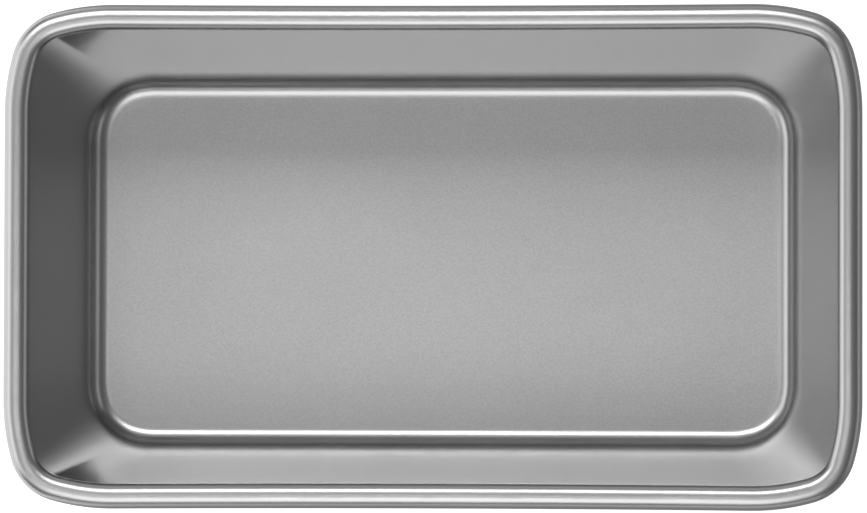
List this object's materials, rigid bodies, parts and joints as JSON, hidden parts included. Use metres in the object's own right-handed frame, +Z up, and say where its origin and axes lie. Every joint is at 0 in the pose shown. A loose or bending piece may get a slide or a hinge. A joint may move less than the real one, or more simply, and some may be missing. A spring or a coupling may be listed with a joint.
{
  "type": "loaf pan",
  "caption": "Rectangular drawn-steel loaf pan with leaning walls, round corners, a wired rolled rim and a silver-grey non-stick finish.",
  "frame": {"origin": "centre of the base's flat underside", "axes": "+X along the length, +Y across the width, +Z up out of the open top"},
  "size_m": [0.243, 0.143, 0.07],
  "materials": {
    "coated_steel": "satin metallic grey non-stick coating with a fine sparkle",
    "wire_steel": "drawn steel wire, bare"
  },
  "bodies": {
    "root": {"pan_shell": "coated_steel", "rim_wire": "wire_steel"}
  },
  "joints": []
}
